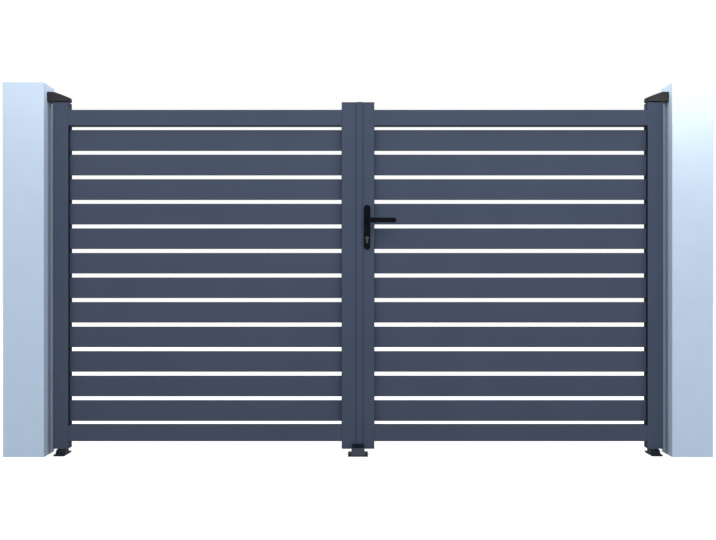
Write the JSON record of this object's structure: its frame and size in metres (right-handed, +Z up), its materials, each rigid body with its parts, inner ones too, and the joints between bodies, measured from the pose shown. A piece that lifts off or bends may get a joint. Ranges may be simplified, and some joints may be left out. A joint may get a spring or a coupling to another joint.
{
  "type": "double-leaf aluminium swing gate",
  "caption": "Double-leaf slatted aluminium swing gate between two rendered pillars, with floor pivots, top brackets, a centre stop and a lever handle.",
  "frame": {"origin": "centre of the left pillar's foot, at ground level", "axes": "+X along the gateway to the right pillar, +Y into the property, +Z up"},
  "size_m": [3.392, 0.1988, 1.79],
  "materials": {
    "powder_coat": "satin",
    "render": "matte",
    "cap_plastic": "matte",
    "hinge_black": "satin",
    "stop_metal": "satin",
    "steel": "satin",
    "cylinder_metal": "satin",
    "handle_black": "satin",
    "rubber": "matte"
  },
  "bodies": {
    "posts": {"left_pillar": "render", "left_top_bracket": "hinge_black", "left_top_pin": "steel", "left_floor_pivot": "hinge_black", "left_floor_pin": "steel", "right_pillar": "render", "right_top_bracket": "hinge_black", "right_top_pin": "steel", "right_floor_pivot": "hinge_black", "right_floor_pin": "steel", "floor_stop_plate": "hinge_black", "floor_stop_block": "stop_metal", "floor_stop_buffer": "rubber"},
    "left_leaf": {"left_hinge_stile": "powder_coat", "left_lock_stile": "powder_coat", "left_top_rail": "powder_coat", "left_bottom_rail": "powder_coat", "left_slats": "powder_coat", "left_hinge_top_cap": "cap_plastic", "left_hinge_bottom_cap": "cap_plastic", "left_lock_top_cap": "cap_plastic", "left_lock_bottom_cap": "cap_plastic", "cover_strip": "powder_coat", "strip_carrier": "powder_coat", "strike_plate": "steel"},
    "right_leaf": {"right_hinge_stile": "powder_coat", "right_lock_stile": "powder_coat", "right_top_rail": "powder_coat", "right_bottom_rail": "powder_coat", "right_slats": "powder_coat", "right_hinge_top_cap": "cap_plastic", "right_hinge_bottom_cap": "cap_plastic", "right_lock_top_cap": "cap_plastic", "right_lock_bottom_cap": "cap_plastic", "lock_faceplate": "steel", "lock_bolts": "steel", "lock_cylinder": "cylinder_metal", "outer_handle_plate": "handle_black", "inner_handle_plate": "handle_black"},
    "lever": {"outer_lever": "handle_black", "inner_lever": "handle_black", "handle_spindle": "steel"}
  },
  "joints": [
    {"name": "left_swing", "type": "hinge", "parent": "posts", "child": "left_leaf", "pos_m": [0.162, 0, 0], "axis": [0, 0, 1], "range_deg": [0, 95]},
    {"name": "right_swing", "type": "hinge", "parent": "posts", "child": "right_leaf", "pos_m": [3.034, 0, 0], "axis": [0, 0, -1], "range_deg": [0, 95]},
    {"name": "lever_turn", "type": "hinge", "parent": "right_leaf", "child": "lever", "pos_m": [1.642, 0, 1.133], "axis": [0, 1, 0], "range_deg": [0, 40], "stiffness_Nm_per_rad": 1.5, "springref_deg": -8.59}
  ]
}
